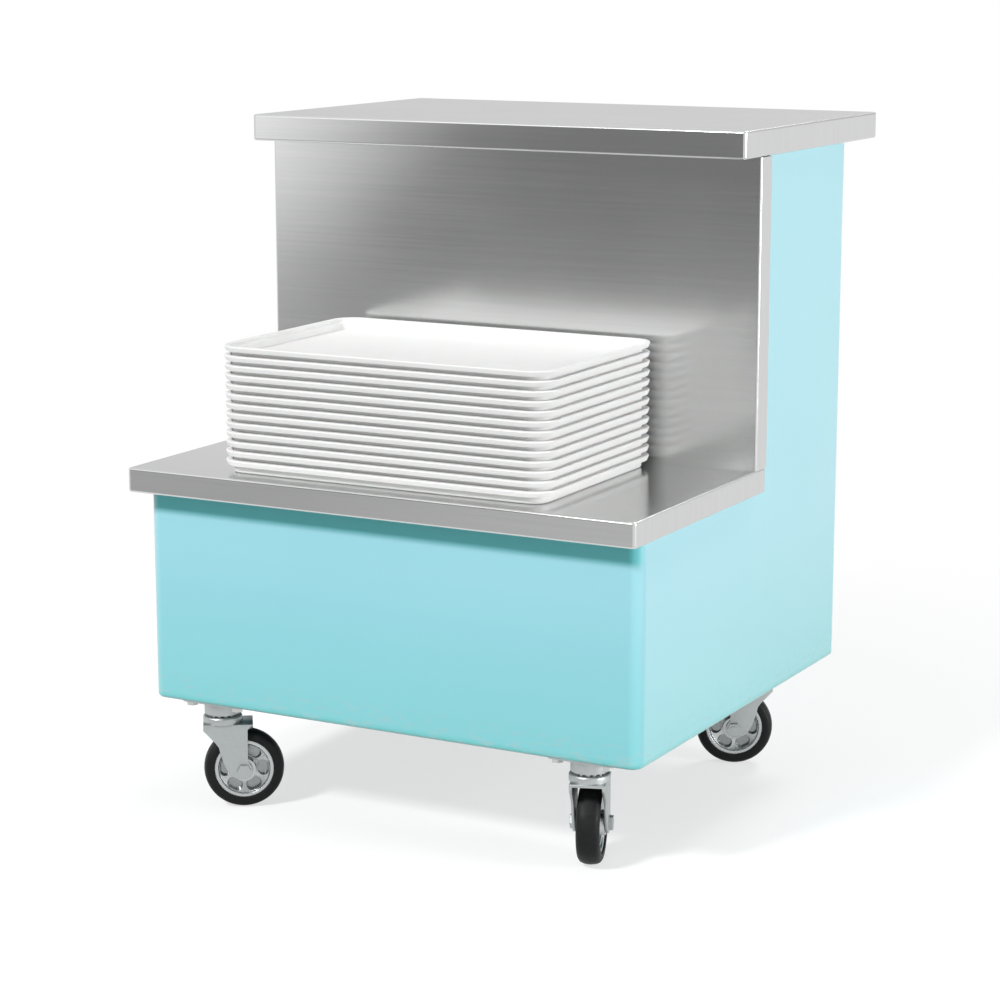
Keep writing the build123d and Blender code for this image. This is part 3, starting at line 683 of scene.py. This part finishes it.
def pocket_cutters():
    """The slots of both sides as one cutter, each rounded at its ends and wider at its mouth."""
    pocket_floor = web_width / 2 - pocket_depth
    middle = (pocket_ring, pocket_floor + pocket_height / 2, 0)
    mouth = (pocket_ring, pocket_floor + pocket_height, 0)
    bpy.ops.object.select_all(action="DESELECT")
    bpy.ops.mesh.primitive_cube_add(size=1, location=middle)
    cutter = start_piece("pocket_cutter")
    bpy.ops.transform.resize(value=(pocket_width, pocket_height, pocket_length), center_override=middle)
    pick("EDGE", lambda edge: abs(edge.verts[0].co.y - edge.verts[1].co.y) > pocket_height / 2)
    bpy.ops.mesh.bevel(
        offset=pocket_end_share * pocket_width, segments=pocket_end_steps, profile=0.5)
    pick("FACE", lambda face: face.normal.y > facing)
    flare = 1 + 2 * pocket_draft * pocket_height / pocket_depth / pocket_width
    bpy.ops.transform.resize(value=(flare, 1, flare), center_override=mouth)
    bpy.ops.object.mode_set(mode="OBJECT")
    cutters = []
    for turned_over in (0, pi):
        for pocket in range(pocket_count):
            seat = Matrix.Rotation(tau * pocket / pocket_count, 4, "Y") @ Matrix.Rotation(turned_over, 4, "X")
            cutters.append(placed_copy(cutter, "pocket", Matrix.Translation(axle_middle) @ seat))
    bpy.data.objects.remove(cutter)
    return join_pieces(cutters, "pocket_cutters")


core = axle_cylinder("wheel_core_pattern", rim_radius, rim_width)
pick("FACE", faces_sideways)
bpy.ops.mesh.inset(thickness=rim_wall - rim_draft, use_individual=True)
bpy.ops.mesh.inset(thickness=rim_draft, depth=web_dish - (rim_width - web_width) / 2, use_individual=True)
bpy.ops.mesh.inset(thickness=web_reach - hub_draft, depth=-web_dish, use_individual=True)
bpy.ops.mesh.inset(thickness=hub_draft, depth=(hub_width - web_width) / 2, use_individual=True)
bpy.ops.mesh.inset(thickness=hub_radius - bore_radius, use_individual=True)
open_bore()
bpy.ops.object.mode_set(mode="OBJECT")
apply_modifier(core, "BEVEL", width=cast_edge, segments=2, angle_limit=cast_edge_angle)
pockets = pocket_cutters()
bpy.ops.object.select_all(action="DESELECT")
bpy.context.view_layer.objects.active = core
core.select_set(True)
apply_modifier(core, "BOOLEAN", object=pockets, operation="DIFFERENCE", solver="EXACT")
bpy.data.objects.remove(pockets)
mark_painted_pocket_shade(core)
core_finish = cast_alloy()
close_piece(core_finish)
for name in caster_names:
    piece = placed_copy(core, name + "_wheel_core_skin", caster_frame(name))
    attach(piece, name + "_wheel")
    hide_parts(name + "_wheel_core")
bpy.data.objects.remove(core)


# Tyres: solid grey-black rubber moulded round the rims, with a crowned tread and rounded shoulders.
# Dust from the floor greys the rubber in small blotches.
tyre_width = 0.028
tyre_wall = 0.013
shoulder_drop = 0.006
tread_rings = 11
rubber_dark = (0.007, 0.008, 0.008)
rubber_dusty = (0.017, 0.018, 0.018)
dust_grain = 130.0
dust_depth = 0.0002
rubber_glossy = 0.42
rubber_dull = 0.6
rubber_specular = 0.15
tyre_smooth_angle = 50


def tyre_rubber():
    material, tree, shader = new_finish("tyre_rubber")
    dust = even_grain(tree, dust_grain, fine_detail)
    tree.links.new(tinted(tree, dust, rubber_dark, rubber_dusty), shader.inputs["Base Color"])
    tree.links.new(spread(tree, dust, rubber_glossy, rubber_dull), shader.inputs["Roughness"])
    tree.links.new(bumps(tree, dust, dust_depth), shader.inputs["Normal"])
    shader.inputs["Specular IOR Level"].default_value = rubber_specular
    return material


def swell_ring(offset):
    """Scales the tread's ring at that distance from the middle out to the crowned tread."""
    share = 2 * offset / tyre_width
    drop = shoulder_drop * (1 - sqrt(1 - share ** 2))
    swell = (axle_height - drop) / (axle_height - shoulder_drop)
    pick("VERT", lambda vert: abs(vert.co.y - offset) < tyre_width / tread_rings / 4
         and (vert.co - axle_middle).length > axle_height - 1.5 * shoulder_drop)
    bpy.ops.transform.resize(value=(swell, 1, swell), center_override=(wheel_trail, offset, axle_height))


tyre = axle_cylinder("tyre_pattern", axle_height - shoulder_drop, tyre_width)
pick("FACE", faces_sideways)
bpy.ops.mesh.inset(thickness=tyre_wall - shoulder_drop, use_individual=True)
open_bore()
pick("EDGE", lambda edge: abs(edge.verts[0].co.y - edge.verts[1].co.y) > tyre_width / 2
     and (edge.verts[0].co - axle_middle).length > rim_radius + tyre_wall / 2)
bpy.ops.mesh.subdivide(number_cuts=tread_rings)
for ring in range(1, tread_rings + 1):
    swell_ring(tyre_width * (ring / (tread_rings + 1) - 0.5))
tyre_finish = tyre_rubber()
close_piece(tyre_finish, tyre_smooth_angle)
for name in caster_names:
    piece = placed_copy(tyre, name + "_tyre_skin", caster_frame(name))
    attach(piece, name + "_wheel")
    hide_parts(name + "_tyre")
bpy.data.objects.remove(tyre)


# Trays: thirteen plain serving trays of white moulded plastic, nested in a stack on the deck.
# Each has a turned-down lip, a flat rim, a stepped wall and a fine pebbled skin; the top one lifts off.
stack_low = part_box("tray_stack")[0]
top_low, top_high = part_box("top_tray")
tray_count = 13
tray_pitch = (top_low.z - stack_low.z) / (tray_count - 1)
tray_corner = 0.032
tray_corner_steps = 12
tray_wall = 0.0022
tray_lip = 0.0066
lip_lean = 0.002
rim_inset = 0.0092
step_inset = 0.0027
step_height = 0.01175
rim_roll = 0.0022
roll_steps = 4
wall_bend = 0.0012
wall_bend_steps = 3
fold_angle = radians(60)
tray_white = (0.85, 0.85, 0.845)
tray_grey = (0.82, 0.822, 0.818)
tray_cloud_grain = 11.0
tray_shine_grain = 40.0
tray_glossy = 0.44
tray_dull = 0.54
tray_glow = 0.05
tray_glow_reach = 0.002
pebble_count = 900.0
pebble_depth = 0.00012
tray_size = top_high - top_low
tray_middle = (top_low + top_high) / 2


def tray_plastic():
    material, tree, shader = new_finish("tray_plastic")
    tone = tinted(tree, even_grain(tree, tray_cloud_grain), tray_grey, tray_white)
    tree.links.new(tone, shader.inputs["Base Color"])
    shine = spread(tree, even_grain(tree, tray_shine_grain), tray_glossy, tray_dull)
    tree.links.new(shine, shader.inputs["Roughness"])
    tree.links.new(bumps(tree, even_grain(tree, pebble_count), pebble_depth), shader.inputs["Normal"])
    shader.inputs["Subsurface Weight"].default_value = tray_glow
    shader.inputs["Subsurface Scale"].default_value = tray_glow_reach
    return material


bpy.ops.object.select_all(action="DESELECT")
bpy.ops.mesh.primitive_plane_add(size=1)
tray = start_piece("tray_pattern")
bpy.ops.transform.resize(value=(tray_size.x, tray_size.y, 1), center_override=(0, 0, 0))
bpy.ops.transform.translate(value=(0, 0, tray_size.z - tray_lip))
bpy.ops.mesh.select_mode(type="VERT")
bpy.ops.mesh.select_all(action="SELECT")
bpy.ops.mesh.bevel(affect="VERTICES", offset=tray_corner, segments=tray_corner_steps, profile=0.5)
pick("FACE", lambda face: True)
bpy.ops.mesh.extrude_region_move(TRANSFORM_OT_translate={"value": (0, 0, tray_lip)})
bpy.ops.mesh.inset(thickness=rim_inset)
bpy.ops.mesh.extrude_region_move(TRANSFORM_OT_translate={"value": (0, 0, step_height - tray_size.z)})
bpy.ops.mesh.inset(thickness=step_inset)
bpy.ops.mesh.extrude_region_move(TRANSFORM_OT_translate={"value": (0, 0, tray_wall - step_height)})
pick("FACE", lambda face: face.normal.z < -facing)
bpy.ops.mesh.delete(type="FACE")
lip_foot = tray_size.z - tray_lip
lip_shares = (1 - 2 * lip_lean / tray_size.x, 1 - 2 * lip_lean / tray_size.y, 1)
pick("VERT", lambda vert: abs(vert.co.z - lip_foot) < tray_wall / 10)
bpy.ops.transform.resize(value=lip_shares, center_override=(0, 0, lip_foot))
pick("EDGE", lambda edge: len(edge.link_faces) == 2
     and edge.calc_face_angle(0) > fold_angle
     and all(vert.co.z > tray_size.z - tray_wall / 2 for vert in edge.verts))
bpy.ops.mesh.bevel(offset=rim_roll, segments=roll_steps, profile=0.5)
pick("EDGE", lambda edge: len(edge.link_faces) == 2 and edge.calc_face_angle(0) > fold_angle)
bpy.ops.mesh.bevel(offset=wall_bend, segments=wall_bend_steps, profile=0.5)
bpy.ops.object.mode_set(mode="OBJECT")
apply_modifier(tray, "SOLIDIFY", thickness=tray_wall, offset=-1, use_even_offset=True)
tray_finish = tray_plastic()
close_piece(tray_finish)
stack = []
for level in range(tray_count):
    seat = Matrix.Translation((tray_middle.x, tray_middle.y, stack_low.z + level * tray_pitch))
    stack.append(placed_copy(tray, "tray", seat))
bpy.data.objects.remove(tray)
top_tray = stack.pop()
top_tray.name = "top_tray_skin"
top_tray.data.name = "top_tray_skin"
stack = join_pieces(stack, "tray_stack_skin")
for piece, body in ((stack, "tray_stack"), (top_tray, "top_tray")):
    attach(piece, body)
    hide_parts(body)


# Studio: a plain pale floor that runs out to white, with the stand's own shadow left on it.
# What is seen of it, or mirrored in metal, is lifted to white; the stand is lit by it as by a grey floor.
floor_reach = 8.0
floor_grey = 0.38
floor_lift = 0.66
floor_roughness = 0.9
fade_start = 0.8
fade_end = 1.5


def seen_or_mirrored(tree):
    """1 for camera, glossy and transmission rays, else 0."""
    path = tree.nodes.new("ShaderNodeLightPath")
    either = arithmetic(tree, "MAXIMUM", path.outputs["Is Camera Ray"], path.outputs["Is Glossy Ray"])
    return arithmetic(tree, "MAXIMUM", either, path.outputs["Is Transmission Ray"])


def studio_floor():
    material, tree, shader = new_finish("studio_floor")
    shader.inputs["Base Color"].default_value = (floor_grey, floor_grey, floor_grey, 1.0)
    shader.inputs["Roughness"].default_value = floor_roughness
    shader.inputs["Specular IOR Level"].default_value = 0.0
    place = tree.nodes.new("ShaderNodeTexCoord")
    length = tree.nodes.new("ShaderNodeVectorMath")
    length.operation = "LENGTH"
    tree.links.new(place.outputs["Object"], length.inputs[0])
    seen = seen_or_mirrored(tree)
    shader.inputs["Emission Color"].default_value = (1.0, 1.0, 1.0, 1.0)
    tree.links.new(arithmetic(tree, "MULTIPLY", seen, floor_lift), shader.inputs["Emission Strength"])
    away = spread(tree, length.outputs["Value"], 0.0, 1.0, fade_start, fade_end)
    white = tree.nodes.new("ShaderNodeEmission")
    join = tree.nodes.new("ShaderNodeMixShader")
    tree.links.new(arithmetic(tree, "MULTIPLY", away, seen), join.inputs["Fac"])
    tree.links.new(shader.outputs["BSDF"], join.inputs[1])
    tree.links.new(white.outputs["Emission"], join.inputs[2])
    tree.links.new(join.outputs["Shader"], tree.nodes["Material Output"].inputs["Surface"])
    return material


bpy.ops.object.select_all(action="DESELECT")
bpy.ops.mesh.primitive_plane_add(size=2 * floor_reach)
floor = bpy.context.object
floor.name = "floor"
floor.data.materials.append(studio_floor())


# Studio light: a key lamp high in front on the left, a tall low one at the right, a weaker one high behind,
# and pale air all round. The key lamp's height sets how far the deck's shadow reaches down the body.
air_strength = 0.26
key_place = (-1.4, -4.7, 4.3)
key_width = 1.0
key_height = 1.0
key_power = 325.0
right_place = (4.65, 0.0, 1.1)
right_width = 1.2
right_height = 2.0
right_power = 140.0
back_place = (0.6, 4.6, 4.2)
back_width = 1.6
back_height = 1.6
back_power = 150.0
lamp_aim = (0.0, 0.0, 0.4)


def lamp(name, place, width, height, power):
    """A soft box lamp at a place, turned to the stand."""
    light = bpy.data.lights.new(name, "AREA")
    light.shape = "RECTANGLE"
    light.size = width
    light.size_y = height
    light.energy = power
    holder = bpy.data.objects.new(name, light)
    holder.location = place
    holder.rotation_euler = (Vector(lamp_aim) - Vector(place)).to_track_quat("-Z", "Y").to_euler()
    bpy.context.scene.collection.objects.link(holder)


lamp("key_lamp", key_place, key_width, key_height, key_power)
lamp("right_lamp", right_place, right_width, right_height, right_power)
lamp("back_lamp", back_place, back_width, back_height, back_power)

world = bpy.data.worlds.new("studio_air")
world.use_nodes = True
bpy.context.scene.world = world
air = world.node_tree
background = air.nodes["Background"]
background.inputs["Color"].default_value = (1.0, 1.0, 1.0, 1.0)
air.links.new(spread(air, seen_or_mirrored(air), air_strength, 1.0, 0.0, 1.0), background.inputs["Strength"])


# Reflector cards: one in front of the stand and one behind, out of the camera's sight and lighting nothing.
# Only shiny faces mirror them. The front card is white at its left end and dark at its right, with a slanted
# edge between, and middle grey along its foot. The back card is pale grey, and the shelf's top mirrors it.
card_left = -1.15
card_right = 0.45
card_low = 0.02
card_high = 1.35
card_front = -1.02
card_light = 1.35
card_dark = 0.26
dark_starts = -1.76
dark_ends = -1.36
dark_lean = 1.0
foot_top = 0.64
foot_blend = 0.34
foot_left = (-0.57, 0.55)
foot_right = (0.0, 0.70)
back_card_left = -2.4
back_card_right = 1.2
back_card_low = 0.90
back_card_high = 2.0
back_card_place = 2.0
back_card_grey = 0.72


def glowing_card(name, grade_of):
    """A material that shines as its grade says, a number or a function that gives a node's output."""
    material, tree, shader = new_finish(name)
    tree.nodes.remove(shader)
    glow = tree.nodes.new("ShaderNodeEmission")
    if callable(grade_of):
        tree.links.new(grade_of(tree), glow.inputs["Strength"])
    else:
        glow.inputs["Strength"].default_value = grade_of
    tree.links.new(glow.outputs["Emission"], tree.nodes["Material Output"].inputs["Surface"])
    return material


def front_grade(tree):
    across = axis_value(tree, "Object", "X")
    height = axis_value(tree, "Object", "Z")
    slanted = arithmetic(tree, "ADD", across, arithmetic(tree, "MULTIPLY", height, -dark_lean))
    grade = tree.nodes.new("ShaderNodeMix")
    low = spread(tree, height, 1.0, 0.0, foot_top - foot_blend, foot_top)
    foot = spread(tree, across, foot_left[1], foot_right[1], foot_left[0], foot_right[0])
    tree.links.new(low, grade.inputs["Factor"])
    tree.links.new(spread(tree, slanted, card_light, card_dark, dark_starts, dark_ends), grade.inputs["A"])
    tree.links.new(foot, grade.inputs["B"])
    return grade.outputs["Result"]


def upright_card(name, left, right, low, high, place, material):
    """An upright card across the scene that only mirror-like faces see."""
    middle = ((left + right) / 2, place, (low + high) / 2)
    bpy.ops.object.select_all(action="DESELECT")
    bpy.ops.mesh.primitive_plane_add(size=1, location=middle, rotation=(pi / 2, 0, 0))
    start_piece(name)
    bpy.ops.transform.resize(value=(right - left, 1, high - low), center_override=middle)
    card = close_piece(material)
    card.visible_camera = False
    card.visible_diffuse = False
    card.visible_shadow = False
    card.visible_transmission = False


upright_card(
    "front_card", card_left, card_right, card_low, card_high, card_front,
    glowing_card("front_card", front_grade))
upright_card(
    "back_card", back_card_left, back_card_right, back_card_low, back_card_high, back_card_place,
    glowing_card("back_card", back_card_grey))


# Camera: the photograph's angle, a little above the deck and to the right of the front.
# Its place and lens come from fitting the stand's own edges.
camera_turn = radians(28.36)
camera_rise = radians(11.58)
camera_distance = 3.5
camera_aim = Vector((0.0046, -0.0465, 0.3796))
sensor = 36.0
lens = 97.73
level_reach = cos(camera_rise)
backward = Vector((sin(camera_turn) * level_reach, -cos(camera_turn) * level_reach, sin(camera_rise)))
lens_data = bpy.data.cameras.new("camera")
lens_data.sensor_width = sensor
lens_data.lens = lens
camera = bpy.data.objects.new("camera", lens_data)
camera.location = camera_aim + camera_distance * backward
camera.rotation_euler = backward.to_track_quat("Z", "Y").to_euler()
bpy.context.scene.collection.objects.link(camera)
bpy.context.scene.camera = camera
bpy.context.scene.view_settings.view_transform = "Standard"
